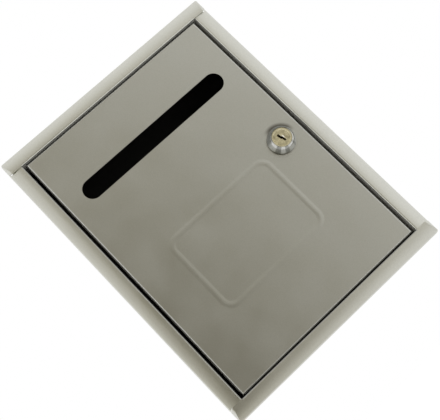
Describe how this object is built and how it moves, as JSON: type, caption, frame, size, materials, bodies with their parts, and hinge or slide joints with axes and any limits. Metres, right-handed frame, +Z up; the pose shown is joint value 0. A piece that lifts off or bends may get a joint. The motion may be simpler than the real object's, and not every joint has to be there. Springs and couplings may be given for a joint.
{
  "type": "lockable mailbox",
  "caption": "Flat wall-hung sheet-steel mailbox with a crowned front rim, a hinged door with a round-ended letter slot, and a cam lock.",
  "frame": {"origin": "centre of the back face, on the wall plane", "axes": "+X to the right as seen from the front, +Z up, +Y into the wall; the door faces -Y"},
  "size_m": [0.2, 0.0752, 0.26],
  "materials": {
    "silver_paint": "satin silver-grey stove paint",
    "zinc_steel": "bright zinc plate",
    "rivet_aluminium": "plain aluminium",
    "spacer_plastic": "black nylon",
    "lock_chrome": "bright nickel-chrome plate",
    "lock_brass": "polished brass"
  },
  "bodies": {
    "box": {"body_wrap": "silver_paint", "top_panel": "silver_paint", "bottom_panel": "silver_paint", "top_panel_rivets": "rivet_aluminium", "bottom_panel_rivets": "rivet_aluminium", "hinge_pin_upper": "zinc_steel", "hinge_pin_lower": "zinc_steel", "hinge_washer_upper": "spacer_plastic", "hinge_washer_lower": "spacer_plastic", "latch_keeper": "zinc_steel", "keeper_rivets": "rivet_aluminium", "door_stop_upper": "zinc_steel", "door_stop_lower": "zinc_steel", "door_stop_rivets": "rivet_aluminium"},
    "door": {"door_panel": "silver_paint", "lock_housing": "lock_chrome", "lock_washer": "zinc_steel", "lock_nut": "zinc_steel"},
    "lock_core": {"lock_plug": "lock_brass", "lock_wafers": "lock_brass", "wafer_springs": "zinc_steel", "cam_stop_disc": "zinc_steel", "lock_cam": "zinc_steel", "cam_washer": "zinc_steel", "cam_screw": "zinc_steel"}
  },
  "joints": [
    {"name": "door_swing", "type": "hinge", "parent": "box", "child": "door", "pos_m": [-0.0796, -0.06255, 0], "axis": [0, 0, -1], "range_deg": [0, 105]},
    {"name": "lock_turn", "type": "hinge", "parent": "door", "child": "lock_core", "pos_m": [0.0662, -0.06815, -0.0005], "axis": [0, -1, 0], "range_deg": [0, 90]}
  ]
}
